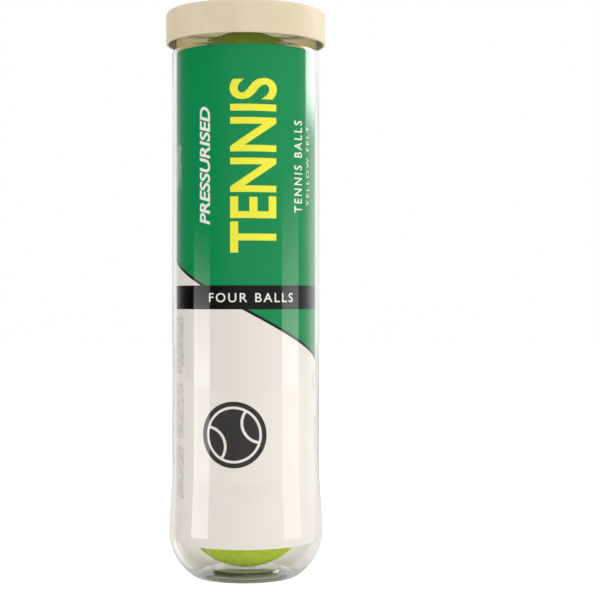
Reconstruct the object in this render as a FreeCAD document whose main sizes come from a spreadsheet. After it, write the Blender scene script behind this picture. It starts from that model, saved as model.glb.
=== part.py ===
import FreeCAD, Part
import math
import os
import re

import Sketcher
from BOPTools import SplitAPI

# Tennis ball can: a clear moulded can with a rolled label inside, a seamed metal end with a ring
# pull, a push-on overcap, and felt-covered balls stacked inside. Millimetres, +Z up the can. The
# origin is on the can's axis, on the surface it stands on.

doc = FreeCAD.newDocument("TennisBallCan")

# ---------------------------------------------------------------- driving sizes

SIZES = {
    # balls
    "ball_count": 4,
    "ball_diameter": 65.8,
    "felt_thickness": 2.9,
    "core_wall": 3.5,
    "cement_gap": 0.05,
    "strip_width": 2.6,
    "strip_recess": 0.4,
    "strip_pinch": 0.25,
    "ball_gap": 0.2,
    "floor_gap": 0.1,
    "head_gap": 1.0,
    # clear can
    "can_wall": 0.6,
    "shoulder_step": 1.4,
    "shoulder_height": 4.7,
    "neck_height": 10.8,
    "foot_bulge": 1.7,
    "foot_taper": 28.0,
    "corner_height": 22.4,
    "corner_inset": 12.25,
    "standing_width": 2.0,
    "base_slope_width": 2.25,
    "base_slope_height": 1.2,
    "pushup_radius": 17.5,
    "pushup_step": 1.6,
    "pushup_run": 1.5,
    "pushup_height": 3.0,
    # label
    "film": 0.25,
    "film_gap": 0.05,
    "film_overlap": 15,
    "label_fit": 0.25,
    "label_bottom": 16.4,
    "label_top_gap": 3.4,
    # metal end
    "metal": 0.3,
    "pass_gap": 0.35,
    "score_gap": 0.1,
    "countersink_gap": 0.4,
    "countersink_depth": 1.0,
    "panel_depth": 4.7,
    "panel_rim": 3.5,
    "panel_drop": 0.4,
    "panel_ramp": 0.6,
    "neck_fit": 0.05,
    "hook_gap": 0.25,
    "hook_clearance": 0.5,
    "seam_room": 0.4,
    "seam_height": 3.1,
    "seam_bend": 0.5,
    "compound_film": 0.3,
    "compound_gap": 0.05,
    # ring pull
    "tab_metal": 1.1,
    "tab_gap": 0.2,
    "tab_edge_gap": 0.95,
    "tab_nose_radius": 8.5,
    "tab_ring_radius": 12.0,
    "tab_band": 3.4,
    "tab_bar": 1.9,
    "tab_curl": 0.4,
    "rivet_setback": 6.2,
    "rivet_window": 4.0,
    "island_radius": 3.7,
    "island_metal": 0.35,
    "island_gap": 0.05,
    "rivet_boss_radius": 2.6,
    "rivet_shank_radius": 1.7,
    "rivet_head_radius": 3.0,
    "rivet_head_height": 0.9,
    # overcap
    "cap_wall": 1.4,
    "cap_fit": 0.8,
    "snap_gap": 0.1,
    "snap_half_height": 0.9,
    "skirt_reach": 10.0,
    "skirt_edge": 0.5,
    "cap_rise": 2.7,
    "cap_corner": 2.0,
    "cap_plate": 1.0,
    "cap_recess": 0.8,
    "cap_rim_width": 5.8,
    "cap_rim_slope": 0.8,
    "seat_gap": 0.2,
    "seat_rib_width": 1.6,
}

sheet = doc.addObject("Spreadsheet::Sheet", "Sizes")
for row, (alias, number) in enumerate(SIZES.items(), start=1):
    sheet.set(f"A{row}", alias)
    sheet.set(f"B{row}", str(number))
    sheet.setAlias(f"B{row}", alias)
doc.recompute()


def bound(formula):
    """The formula with each size's name pointing at its cell in the sheet."""
    return re.sub(r"[a-z_]+", lambda word: f"Sizes.{word[0]}" if word[0] in SIZES else word[0], formula)


def value(formula):
    return float(sheet.evalExpression(bound(formula)))


# ---------------------------------------------------------------- places worked out from the sizes

ball_radius = "(ball_diameter / 2)"
core_radius = f"({ball_radius} - felt_thickness)"

# heights, up the can
floor_top = "(pushup_height + can_wall)"
stack_top = f"({floor_top} + floor_gap + ball_count * ball_diameter + (ball_count - 1) * ball_gap)"
panel_under = f"({stack_top} + head_gap)"
panel_top = f"({panel_under} + metal)"
seam_top = f"({panel_top} + panel_depth)"
seam_bottom = f"({seam_top} - seam_height)"
shoulder_top = f"({seam_bottom} - neck_height)"
shoulder_bottom = f"({shoulder_top} - shoulder_height)"
tab_under = f"({panel_top} + tab_gap)"
cap_top = f"({seam_top} + cap_rise)"
skirt_bottom = f"({seam_bottom} - skirt_reach)"

# radii, out from the axis
lip_inner = f"({ball_radius} + pass_gap)"
lip_outer = f"({lip_inner} + metal)"
chuck_inner = f"({lip_outer} + countersink_gap)"
chuck_outer = f"({chuck_inner} + metal)"
neck_inner = f"({chuck_outer} + neck_fit)"
neck_outer = f"({neck_inner} + can_wall)"
hook_inner = f"({neck_outer} + 2 * hook_gap + metal)"
hook_outer = f"({hook_inner} + can_wall)"
seam_outer = f"({hook_outer} + seam_room + metal)"
body_outer = f"({neck_outer} + shoulder_step)"
body_inner = f"({body_outer} - can_wall)"
foot_outer = f"({body_outer} + foot_bulge)"
skirt_inner = f"({seam_outer} + cap_fit)"
cap_outer = f"({skirt_inner} + cap_wall)"
panel_radius = f"({lip_inner} - score_gap)"
label_outer = f"({neck_inner} - label_fit)"

# the ring pull lies along Y, from its nose at the panel's front edge back towards the middle
tab_front = f"({panel_radius} - tab_edge_gap)"
nose_centre = f"(tab_nose_radius - {tab_front})"
rivet_place = f"(rivet_setback - {tab_front})"
ring_hole_radius = "(tab_ring_radius - tab_band)"
ring_centre = f"({rivet_place} + rivet_window + tab_bar + {ring_hole_radius})"


# ---------------------------------------------------------------- drawing helpers

def new_body(name):
    body = doc.addObject("PartDesign::Body", name)
    body.Label = name
    return body


def new_sketch(body, name, plane, height=None):
    """A sketch on one of the body's own origin planes, raised by a bound height where one is given."""
    sketch = body.newObject("Sketcher::SketchObject", name)
    origin_plane = next(f for f in body.Origin.OriginFeatures if f.Role == plane)
    sketch.AttachmentSupport = [(origin_plane, "")]
    sketch.MapMode = "FlatFace"
    if height:
        sketch.setExpression("AttachmentOffset.Base.z", bound(height))
    return sketch


def bind_distance(sketch, kind, places, formula):
    """A constraint whose size follows the sheet."""
    index = sketch.addConstraint(Sketcher.Constraint(kind, *places, value(formula)))
    sketch.setExpression(f"Constraints[{index}]", bound(formula))


def arc_between(start, end, radius, side):
    """The arc under half a turn from start to end that bulges to the left (1) or the right (-1)."""
    chord = end - start
    half = chord.Length / 2
    left = FreeCAD.Vector(-chord.y, chord.x, 0).normalize()
    centre = (start + end) / 2 - left * side * math.sqrt(max(radius ** 2 - half ** 2, 0))
    middle = centre + left * side * radius
    return Part.Arc(start, middle, end)


def draw_outline(sketch, corners):
    """A closed outline. A corner is (across, up), or (across, up, radius, side) where an arc leaves it."""
    points = [FreeCAD.Vector(value(corner[0]), value(corner[1]), 0) for corner in corners]
    edges = []
    for index, corner in enumerate(corners):
        start, end = points[index], points[(index + 1) % len(points)]
        if len(corner) == 4:
            edge = sketch.addGeometry(arc_between(start, end, value(corner[2]), corner[3]), False)
        else:
            edge = sketch.addGeometry(Part.LineSegment(start, end), False)
        turned = (sketch.getPoint(edge, 1) - start).Length > (sketch.getPoint(edge, 2) - start).Length
        edges.append((edge, 2 if turned else 1, 1 if turned else 2))
    for index, corner in enumerate(corners):
        edge, first, last = edges[index]
        following, next_first, _ = edges[(index + 1) % len(corners)]
        sketch.addConstraint(Sketcher.Constraint("Coincident", edge, last, following, next_first))
        if corner[0] == "0":
            sketch.addConstraint(Sketcher.Constraint("PointOnObject", edge, first, -2))
        else:
            bind_distance(sketch, "DistanceX", (-1, 1, edge, first), corner[0])
        bind_distance(sketch, "DistanceY", (-1, 1, edge, first), corner[1])
        if len(corner) == 4:
            bind_distance(sketch, "Radius", (edge,), corner[2])


def draw_circle(sketch, across, up, radius):
    centre = FreeCAD.Vector(value(across), value(up), 0)
    circle = sketch.addGeometry(Part.Circle(centre, FreeCAD.Vector(0, 0, 1), value(radius)), False)
    bind_distance(sketch, "DistanceX", (-1, 1, circle, 3), across)
    bind_distance(sketch, "DistanceY", (-1, 1, circle, 3), up)
    bind_distance(sketch, "Radius", (circle,), radius)


def revolved(body, name, corners):
    """An outline in the plane through the can's axis, turned all the way round it."""
    sketch = new_sketch(body, f"{name}_section", "XZ_Plane")
    draw_outline(sketch, corners)
    turn = body.newObject("PartDesign::Revolution", name)
    turn.Profile = sketch
    turn.ReferenceAxis = (sketch, ["V_Axis"])
    turn.Angle = 360
    return turn


def padded(body, name, sketch, length):
    pad = body.newObject("PartDesign::Pad", name)
    pad.Profile = sketch
    pad.setExpression("Length", bound(length))
    return pad


def swept_step(outer, inner, low, high, wall, going_up):
    """Two arcs that ease a wall from one radius to another, on the wall's inner or outer side."""
    fall = f"({outer} - {inner})"
    rise = f"({high} - {low})"
    bend = f"(({rise}^2 + {fall}^2) / (4 * {fall}))"
    lean = f"({rise} / 2 / {bend})"
    middle = (
        f"({outer} + {inner}) / 2 - {wall} * sqrt(1 - {lean}^2)",
        f"({low} + {high}) / 2 - {wall} * {lean}",
    )
    bottom = (f"{outer} - {wall}", low)
    top = (f"{inner} - {wall}", high)
    convex, concave = f"{bend} - {wall}", f"{bend} + {wall}"
    if going_up:
        return [(*bottom, convex, -1), (*middle, concave, 1), top]
    return [(*top, concave, -1), (*middle, convex, 1), bottom]


# ---------------------------------------------------------------- the clear can

def make_can_body():
    """The moulded can: pushed-up base, flared foot, straight wall, shoulder, neck and rolled flange."""
    corner_bend = "((corner_height^2 + corner_inset^2) / (2 * corner_inset))"
    corner_axis = f"({foot_outer} - {corner_bend})"
    standing_outer = f"({foot_outer} - corner_inset)"
    standing_inner = f"({standing_outer} - standing_width)"
    inner_foot = f"{corner_axis} + sqrt(({corner_bend} - can_wall)^2 - (corner_height - can_wall)^2)"
    foot_top = "(corner_height + foot_taper)"
    flange_bend = f"(({hook_inner} - {neck_outer}) / 2)"
    flange_under = f"({seam_top} - metal - compound_film - 2 * compound_gap - can_wall)"
    flange_start = f"({flange_under} - {flange_bend})"
    flange_middle = f"({neck_outer} + {flange_bend})"
    hook_end = f"({seam_bottom} + metal + hook_clearance)"
    wide_bend = f"{flange_bend} + can_wall"

    def base(lift):
        return [
            ("0", f"pushup_height + {lift}"),
            ("pushup_radius - pushup_run", f"pushup_height + {lift}"),
            ("pushup_radius", f"pushup_height - pushup_step + {lift}"),
            (f"{standing_inner} - base_slope_width", f"base_slope_height + {lift}"),
            (standing_inner, lift),
        ]

    outside = base("0")
    outside.append((standing_outer, "0", corner_bend, -1))
    outside += swept_step(foot_outer, body_outer, "corner_height", foot_top, "0", True)
    outside += swept_step(body_outer, neck_outer, shoulder_bottom, shoulder_top, "0", True)
    outside += [
        (neck_outer, flange_start, flange_bend, 1),
        (flange_middle, flange_under, flange_bend, 1),
        (hook_inner, flange_start),
        (hook_inner, hook_end),
    ]
    inside = [
        (hook_outer, hook_end),
        (hook_outer, flange_start, wide_bend, -1),
        (flange_middle, f"{flange_under} + can_wall", wide_bend, -1),
        (neck_inner, flange_start),
    ]
    inside += swept_step(body_outer, neck_outer, shoulder_bottom, shoulder_top, "can_wall", False)
    inside += swept_step(foot_outer, body_outer, "corner_height", foot_top, "can_wall", False)
    inside[-1] = (*inside[-1], f"{corner_bend} - can_wall", 1)
    inside.append((inner_foot, "can_wall"))
    inside += reversed(base("can_wall"))
    body = new_body("can_body")
    revolved(body, "can_wall_turn", outside + inside)


def make_label_insert():
    """The printed film, rolled to a tube that overlaps itself at the back of the can."""
    step = "(film + film_gap)"
    radii = [label_outer, f"({label_outer} - {step} / 2)", f"({label_outer} - {step})"]
    shift = f"({step} / 2)"
    reach = "film_overlap"

    def film_side(inset):
        first, second, third = [f"({radius} - {inset})" for radius in radii]
        return [
            ("0", first),
            (f"-{first}", "0"),
            ("0", f"-{first}"),
            (second, f"-{shift}"),
            ("0", third),
            (f"-{third} * sin(3.14159265 * {reach} / 180)", f"{third} * cos(3.14159265 * {reach} / 180)"),
        ], [first, first, second, second, third]

    body = new_body("label_insert")
    sketch = new_sketch(body, "label_roll", "XY_Plane", "label_bottom")
    outer_points, outer_radii = film_side("0")
    inner_points, inner_radii = film_side("film")
    corners = [(*point, radius, -1) for point, radius in zip(outer_points, outer_radii)]
    corners.append(outer_points[-1])
    backwards = list(zip(reversed(inner_points), reversed(inner_radii)))
    corners += [(*point, radius, 1) for point, radius in backwards]
    corners.append(inner_points[0])
    draw_outline(sketch, corners)
    padded(body, "label_length", sketch, f"{shoulder_top} - label_top_gap - label_bottom")


# ---------------------------------------------------------------- the metal end

def make_end_ring():
    """What stays on the can when the panel is torn out: lip, countersink, chuck wall and double seam."""
    sink = f"({panel_under} - countersink_depth)"
    sink_middle = f"({lip_outer} + countersink_gap / 2)"
    inner_bend = "(countersink_gap / 2)"
    outer_bend = "(countersink_gap / 2 + metal)"
    tight = "(seam_bend - metal)"
    hook_inside = f"({neck_outer} + hook_gap)"
    hook_outside = f"({hook_inside} + metal)"
    seam_inside = f"({seam_outer} - metal)"
    hook_top = f"({seam_top} - metal - compound_film - 2 * compound_gap - can_wall - hook_gap)"
    corners = [
        (lip_inner, panel_top),
        (lip_outer, panel_top),
        (lip_outer, sink, inner_bend, -1),
        (sink_middle, f"{sink} - {inner_bend}", inner_bend, -1),
        (chuck_inner, sink),
        (chuck_inner, f"{seam_top} - seam_bend", "seam_bend", 1),
        (f"{chuck_inner} + seam_bend", seam_top),
        (f"{seam_outer} - seam_bend", seam_top, "seam_bend", 1),
        (seam_outer, f"{seam_top} - seam_bend"),
        (seam_outer, f"{seam_bottom} + seam_bend", "seam_bend", 1),
        (f"{seam_outer} - seam_bend", seam_bottom),
        (f"{hook_inside} + seam_bend", seam_bottom, "seam_bend", 1),
        (hook_inside, f"{seam_bottom} + seam_bend"),
        (hook_inside, hook_top),
        (hook_outside, hook_top),
        (hook_outside, f"{seam_bottom} + seam_bend", tight, -1),
        (f"{hook_inside} + seam_bend", f"{seam_bottom} + metal"),
        (f"{seam_outer} - seam_bend", f"{seam_bottom} + metal", tight, -1),
        (seam_inside, f"{seam_bottom} + seam_bend"),
        (seam_inside, f"{seam_top} - seam_bend", tight, -1),
        (f"{seam_outer} - seam_bend", f"{seam_top} - metal"),
        (f"{chuck_inner} + seam_bend", f"{seam_top} - metal", tight, -1),
        (chuck_outer, f"{seam_top} - seam_bend"),
        (chuck_outer, sink, outer_bend, 1),
        (sink_middle, f"{sink} - {outer_bend}", outer_bend, 1),
        (lip_inner, sink),
    ]
    body = new_body("end_ring")
    revolved(body, "end_ring_turn", corners)


def make_seam_compound():
    """The ring of sealing compound between the can's flange and the metal rolled over it."""
    top = f"({seam_top} - metal - compound_gap)"
    inner = f"({chuck_inner} + seam_bend)"
    outer = f"({seam_outer} - seam_bend - metal)"
    body = new_body("seam_compound")
    revolved(body, "compound_turn", [
        (inner, f"{top} - compound_film"),
        (outer, f"{top} - compound_film"),
        (outer, top),
        (inner, top),
    ])


def make_tear_panel():
    """The disc inside the score, stiffened by a step, with the rivet coined up from its own metal."""
    rim = f"({panel_radius} - panel_rim)"
    well = f"({rim} - panel_ramp)"
    body = new_body("tear_panel")
    revolved(body, "panel_turn", [
        ("0", f"{panel_under} - panel_drop"),
        (well, f"{panel_under} - panel_drop"),
        (rim, panel_under),
        (panel_radius, panel_under),
        (panel_radius, panel_top),
        (rim, panel_top),
        (well, f"{panel_top} - panel_drop"),
        ("0", f"{panel_top} - panel_drop"),
    ])
    boss_base = f"({panel_under} - panel_drop)"
    boss_top = f"({tab_under} - island_gap)"
    shank_top = f"({tab_under} + island_metal + island_gap)"
    steps = [
        ("rivet_boss", boss_base, boss_top, "rivet_boss_radius"),
        ("rivet_shank", boss_top, shank_top, "rivet_shank_radius"),
        ("rivet_head", shank_top, f"({shank_top} + rivet_head_height)", "rivet_head_radius"),
    ]
    for name, low, high, radius in steps:
        sketch = new_sketch(body, f"{name}_circle", "XY_Plane", low)
        draw_circle(sketch, "0", rivet_place, radius)
        padded(body, name, sketch, f"{high} - {low}")



def make_pull_tab():
    """The ring pull: an egg-shaped plate with a finger ring, a window round the rivet and curled edges."""
    lean = f"((tab_ring_radius - tab_nose_radius) / ({ring_centre} - {nose_centre}))"
    across = f"sqrt(1 - {lean}^2)"

    def tangent(centre, radius, side):
        return f"{side} * {radius} * {across}", f"{centre} - {radius} * {lean}"

    body = new_body("pull_tab")
    sketch = new_sketch(body, "tab_outline", "XY_Plane", tab_under)
    draw_outline(sketch, [
        (*tangent(ring_centre, "tab_ring_radius", 1), "tab_ring_radius", -1),
        ("0", f"{ring_centre} + tab_ring_radius", "tab_ring_radius", -1),
        tangent(ring_centre, "tab_ring_radius", -1),
        (*tangent(nose_centre, "tab_nose_radius", -1), "tab_nose_radius", -1),
        ("0", f"{nose_centre} - tab_nose_radius", "tab_nose_radius", -1),
        tangent(nose_centre, "tab_nose_radius", 1),
    ])
    draw_circle(sketch, "0", ring_centre, ring_hole_radius)
    draw_circle(sketch, "0", rivet_place, "rivet_window")
    pad = padded(body, "tab_plate", sketch, "tab_metal")
    doc.recompute()
    curl = body.newObject("PartDesign::Fillet", "tab_curled_edges")
    level = [f"Edge{n}" for n, edge in enumerate(pad.Shape.Edges, start=1) if edge.BoundBox.ZLength < 0.01]
    curl.Base = (pad, level)
    curl.setExpression("Radius", bound("min(tab_curl; 0.45 * tab_metal)"))


def make_rivet_island():
    """The tab's own tongue that stays under the rivet when the ring is lifted."""
    body = new_body("rivet_island")
    sketch = new_sketch(body, "island_rings", "XY_Plane", tab_under)
    draw_circle(sketch, "0", rivet_place, "island_radius")
    draw_circle(sketch, "0", rivet_place, "rivet_shank_radius + island_gap")
    padded(body, "island_plate", sketch, "island_metal")


# ---------------------------------------------------------------- the overcap

def make_overcap():
    """The soft push-on lid, with a stacking rim, a rib that sits on the seam and a snap bead under it."""
    rim_inner = f"({cap_outer} - cap_rim_width)"
    recess_top = f"({cap_top} - cap_recess)"
    plate_under = f"({recess_top} - cap_plate)"
    rib_middle = f"(({chuck_inner} + {seam_outer}) / 2)"
    rib_under = f"({seam_top} + seat_gap)"
    bead_level = f"({seam_bottom} - snap_half_height)"
    corners = [
        ("0", plate_under),
        (f"{rib_middle} - seat_rib_width / 2", plate_under),
        (f"{rib_middle} - seat_rib_width / 2", rib_under),
        (f"{rib_middle} + seat_rib_width / 2", rib_under),
        (f"{rib_middle} + seat_rib_width / 2", plate_under),
        (skirt_inner, plate_under),
        (skirt_inner, f"{bead_level} + snap_half_height"),
        (f"{seam_outer} + snap_gap", bead_level),
        (skirt_inner, f"{bead_level} - 2 * snap_half_height"),
        (skirt_inner, skirt_bottom),
        (f"{cap_outer} - skirt_edge", skirt_bottom, "skirt_edge", -1),
        (cap_outer, f"{skirt_bottom} + skirt_edge"),
        (cap_outer, f"{cap_top} - cap_corner", "cap_corner", -1),
        (f"{cap_outer} - cap_corner", cap_top),
        (rim_inner, cap_top),
        (f"{rim_inner} - cap_rim_slope", recess_top),
        ("0", recess_top),
    ]
    body = new_body("overcap")
    revolved(body, "overcap_turn", corners)


# ---------------------------------------------------------------- the balls

def seam_point(turn, pinch):
    """A point of the seam's middle line on a sphere of radius 1."""
    x = (1 - pinch) * math.cos(turn) + pinch * math.cos(3 * turn)
    y = (1 - pinch) * math.sin(turn) - pinch * math.sin(3 * turn)
    z = 2 * math.sqrt(pinch * (1 - pinch)) * math.sin(2 * turn)
    return FreeCAD.Vector(x, y, z).normalize()


def strip_curve(width, side, radius):
    """One edge of a strip that winds round a sphere like a tennis ball's seam, as a closed curve."""
    pinch = value("strip_pinch")
    half_angle = width / 2 / value(ball_radius) * side
    samples = 72
    points = []
    for index in range(samples):
        turn = 2 * math.pi * index / samples
        place = seam_point(turn, pinch)
        along = (seam_point(turn + 0.001, pinch) - seam_point(turn - 0.001, pinch)).normalize()
        sideways = place.cross(along).normalize()
        points.append((place * math.cos(half_angle) + sideways * math.sin(half_angle)) * radius)
    curve = Part.BSplineCurve()
    curve.interpolate(Points=points, PeriodicFlag=True)
    return curve.toShape()


def cut_by_strip(inner, outer, width):
    """A ball's shell between two radii, cut along a strip's edges: upper panel, strip, lower panel."""
    shell = Part.makeSphere(outer).cut(Part.makeSphere(inner))
    margin = value("felt_thickness") / 2
    walls = []
    for side in (-1, 1):
        low = strip_curve(width, side, inner - margin)
        high = strip_curve(width, side, outer + margin)
        walls.append(Part.makeRuledSurface(low, high))
    pieces = SplitAPI.slice(shell, walls, "Split").Solids
    return sorted(pieces, key=lambda piece: -piece.CenterOfMass.z if piece.Volume > shell.Volume / 4 else 0)


def make_ball(number, felt_panels, strip, heading, tilt):
    """One ball, placed in the stack with ball 1 on top and turned as it happened to drop in."""
    up_stack = f"(ball_count - {number})"
    height = f"{floor_top} + floor_gap + {ball_radius} + {up_stack} * (ball_diameter + ball_gap)"
    turned = FreeCAD.Rotation(heading, tilt, 0)

    def place(piece, name):
        piece.Label = name
        piece.Placement = FreeCAD.Placement(FreeCAD.Vector(0, 0, 0), turned)
        piece.setExpression("Placement.Base.z", bound(height))

    for half, low_angle, high_angle in (("upper", 0, 90), ("lower", -90, 0)):
        skins = []
        for skin, radius in (("outside", core_radius), ("inside", f"({core_radius} - core_wall)")):
            sphere = doc.addObject("Part::Sphere", f"ball_{number}_core_{half}_{skin}")
            sphere.setExpression("Radius", bound(radius))
            sphere.Angle1 = low_angle
            sphere.Angle2 = high_angle
            skins.append(sphere)
        core = doc.addObject("Part::Cut", f"ball_{number}_core_{half}")
        core.Base, core.Tool = skins
        place(core, f"ball_{number}_core_{half}")
    for letter, panel in zip("ab", felt_panels):
        felt = doc.addObject("Part::Feature", f"ball_{number}_felt_{letter}")
        felt.Shape = panel
        place(felt, f"ball_{number}_felt_{letter}")
    cement = doc.addObject("Part::Feature", f"ball_{number}_seam")
    cement.Shape = strip
    place(cement, f"ball_{number}_seam")


# ---------------------------------------------------------------- build, check and write

make_can_body()
make_label_insert()
make_end_ring()
make_seam_compound()
make_tear_panel()
make_pull_tab()
make_rivet_island()
make_overcap()

felt_inner = value(f"{core_radius} + cement_gap")
upper_felt, _, lower_felt = cut_by_strip(felt_inner, value(ball_radius), value("strip_width"))
strip_outer, strip_width = value(f"{ball_radius} - strip_recess"), value("strip_width - 2 * cement_gap")
_, cement_strip, _ = cut_by_strip(felt_inner, strip_outer, strip_width)
for ball_number in range(1, int(value("ball_count")) + 1):
    make_ball(ball_number, (upper_felt, lower_felt), cement_strip, 47 * ball_number, 29 * ball_number)

doc.recompute()

for item in doc.Objects:
    assert not {"Invalid", "Error"} & set(item.State), f"{item.Label} did not build: {item.State}"

own_parts = [body for body in doc.Objects if body.TypeId == "PartDesign::Body"]
own_parts += [item for item in doc.Objects if item.TypeId in ("Part::Cut", "Part::Feature")]
os.makedirs("parts", exist_ok=True)
for item in own_parts:
    assert not item.Shape.isNull() and item.Shape.isValid(), f"{item.Label} has no sound shape"
for item in own_parts:
    item.Shape.exportStep(f"parts/{item.Label}.step")
    box = item.Shape.BoundBox
    size = f"{item.Shape.Volume:10.1f} mm3  z {box.ZMin:7.2f} to {box.ZMax:7.2f}  x {box.XMax:6.2f}"
    print(f"{item.Label:20s} {size}")
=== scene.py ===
import math

import bpy
from mathutils import Euler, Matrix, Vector, noise
from mathutils.kdtree import KDTree


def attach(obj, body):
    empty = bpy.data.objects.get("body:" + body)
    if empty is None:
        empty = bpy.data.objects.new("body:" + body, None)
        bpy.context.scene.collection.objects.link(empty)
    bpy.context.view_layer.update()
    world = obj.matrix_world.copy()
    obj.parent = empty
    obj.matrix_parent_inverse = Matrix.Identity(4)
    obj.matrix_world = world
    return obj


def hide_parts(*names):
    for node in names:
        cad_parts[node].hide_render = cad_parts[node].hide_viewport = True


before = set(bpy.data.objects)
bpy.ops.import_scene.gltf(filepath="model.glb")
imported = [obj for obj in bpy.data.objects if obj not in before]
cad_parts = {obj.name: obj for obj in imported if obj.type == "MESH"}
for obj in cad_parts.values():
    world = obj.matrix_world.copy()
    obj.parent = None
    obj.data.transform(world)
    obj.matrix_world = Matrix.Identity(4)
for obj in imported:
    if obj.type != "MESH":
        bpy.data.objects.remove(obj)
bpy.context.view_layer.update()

mm = 0.001
perRadian = 57.2958     # degrees
print("frame loaded:", len(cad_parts), "nodes")


# selecting, settling and handing over

def deselectAll():
    if bpy.context.object and bpy.context.object.mode != "OBJECT":
        bpy.ops.object.mode_set(mode="OBJECT")
    bpy.ops.object.select_all(action="DESELECT")


def pickOnly(piece):
    deselectAll()
    piece.select_set(True)
    bpy.context.view_layer.objects.active = piece


def settle(piece):  # place, turn and size go into the mesh
    pickOnly(piece)
    bpy.ops.object.transform_apply(location=True, rotation=True, scale=True)


def applyModifier(piece, kind, **settings):
    pickOnly(piece)
    modifier = piece.modifiers.new(kind.lower(), kind)
    for key, value in settings.items():
        setattr(modifier, key, value)
    bpy.ops.object.modifier_apply(modifier=modifier.name)


def smoothByAngle(piece, degrees):
    pickOnly(piece)
    bpy.ops.object.shade_smooth_by_angle(angle=math.radians(degrees))


def joinPieces(parts, name):
    pickOnly(parts[0])
    for part in parts:
        part.select_set(True)
    if len(parts) > 1:
        bpy.ops.object.join()
    joined = bpy.context.object
    joined.name = name
    return joined


def copyPiece(piece, name):  # a copy with a mesh of its own
    pickOnly(piece)
    bpy.ops.object.duplicate(linked=False)
    made = bpy.context.object
    made.name = name
    return made


def handOver(piece, body, material, standsFor=()):
    if material:
        piece.data.materials.clear()
        piece.data.materials.append(material)
    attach(piece, body)
    if standsFor:
        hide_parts(*standsFor)
    return piece


# outlines are lists of (radius, height) in millimetres

def arcPoints(centre, radius, startDegrees, endDegrees, steps=8):
    points = []
    for step in range(steps + 1):
        angle = math.radians(startDegrees + (endDegrees - startDegrees) * step / steps)
        points.append((centre[0] + radius * math.cos(angle), centre[1] + radius * math.sin(angle)))
    return points


def easePoints(low, high, steps=8):  # two arcs from one upright wall to another
    rise, step = high[1] - low[1], low[0] - high[0]
    radius = (rise * rise + step * step) / (4 * abs(step))
    lean = math.degrees(math.asin(rise / 2 / radius))
    if step > 0:
        first = arcPoints((low[0] - radius, low[1]), radius, 0, lean, steps)
        second = arcPoints((high[0] + radius, high[1]), radius, 180 + lean, 180, steps)
    else:
        first = arcPoints((low[0] + radius, low[1]), radius, 180, 180 - lean, steps)
        second = arcPoints((high[0] - radius, high[1]), radius, -lean, 0, steps)
    return first + second[1:]


def offsetPoints(points, distance):  # to the left of the way the outline runs
    moved = []
    for index, point in enumerate(points):
        before = Vector(points[max(index - 1, 0)])
        here = Vector(point)
        after = Vector(points[min(index + 1, len(points) - 1)])
        first = (here - before).normalized() if index else (after - here).normalized()
        second = (after - here).normalized() if index < len(points) - 1 else first
        normal = Vector((-(first.y + second.y), first.x + second.x)).normalized()
        spread = max(normal.dot(Vector((-first.y, first.x))), 0.3)
        moved.append((here.x + normal.x * distance / spread, here.y + normal.y * distance / spread))
    return moved


def turnOnLathe(name, outline, steps=160, closed=True, smoothDegrees=35):
    # one vertex is drawn out along the outline, and the outline is spun round the can's axis
    deselectAll()
    bpy.ops.mesh.primitive_plane_add(size=mm, location=(0, 0, 0))
    piece = bpy.context.object
    piece.name = name
    bpy.ops.object.mode_set(mode="EDIT")
    bpy.ops.mesh.select_mode(type="VERT")
    bpy.ops.mesh.merge(type="CENTER")
    path = [Vector((0, 0))] + [Vector(p) * mm for p in outline]
    if closed:
        path.append(path[1])
    move = path[1] - path[0]
    bpy.ops.transform.translate(value=(move.x, 0, move.y))
    for start, end in zip(path[1:], path[2:]):
        move = end - start
        bpy.ops.mesh.extrude_region_move(TRANSFORM_OT_translate={"value": (move.x, 0, move.y)})
    bpy.ops.mesh.select_all(action="SELECT")
    bpy.ops.mesh.spin(steps=steps, angle=2 * math.pi, center=(0, 0, 0), axis=(0, 0, 1))
    bpy.ops.mesh.select_all(action="SELECT")
    bpy.ops.mesh.remove_doubles(threshold=2e-6)
    bpy.ops.mesh.normals_make_consistent(inside=False)
    bpy.ops.object.mode_set(mode="OBJECT")
    settle(piece)
    smoothByAngle(piece, smoothDegrees)
    return piece


# node helpers

def paint(red, green, blue):  # a display colour, 0 to 255, as linear light
    def linear(value):
        value = value / 255
        return value / 12.92 if value <= 0.04045 else ((value + 0.055) / 1.055) ** 2.4
    return (linear(red), linear(green), linear(blue), 1)


def feed(tree, socket, value):
    if isinstance(value, bpy.types.NodeSocket):
        tree.links.new(value, socket)
    elif value is not None:
        socket.default_value = value


def addNode(tree, kind, feeds=(), **settings):
    made = tree.nodes.new(kind)
    for key, value in settings.items():
        setattr(made, key, value)
    for socket, value in dict(feeds).items():
        feed(tree, made.inputs[socket], value)
    return made


def calc(tree, operation, *values):
    return addNode(tree, "ShaderNodeMath", enumerate(values), operation=operation).outputs[0]


def chain(tree, operation, values):
    total = values[0]
    for value in values[1:]:
        total = calc(tree, operation, total, value)
    return total


def remap(tree, value, low, high, fromLow=0.0, fromHigh=1.0, smooth=False):
    feeds = {0: value, 1: fromLow, 2: fromHigh, 3: low, 4: high}
    kind = "SMOOTHSTEP" if smooth else "LINEAR"
    return addNode(tree, "ShaderNodeMapRange", feeds, interpolation_type=kind).outputs[0]


def mixColour(tree, amount, first, second, mode="MIX"):
    feeds = {0: amount, 6: first, 7: second}
    return addNode(tree, "ShaderNodeMix", feeds, data_type="RGBA", blend_type=mode).outputs[2]


def objectPlace(tree):
    return addNode(tree, "ShaderNodeTexCoord").outputs["Object"]


def stretched(tree, place, scale, turn=(0, 0, 0)):
    return addNode(tree, "ShaderNodeMapping", {0: place, 2: turn, 3: scale}).outputs[0]


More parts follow.
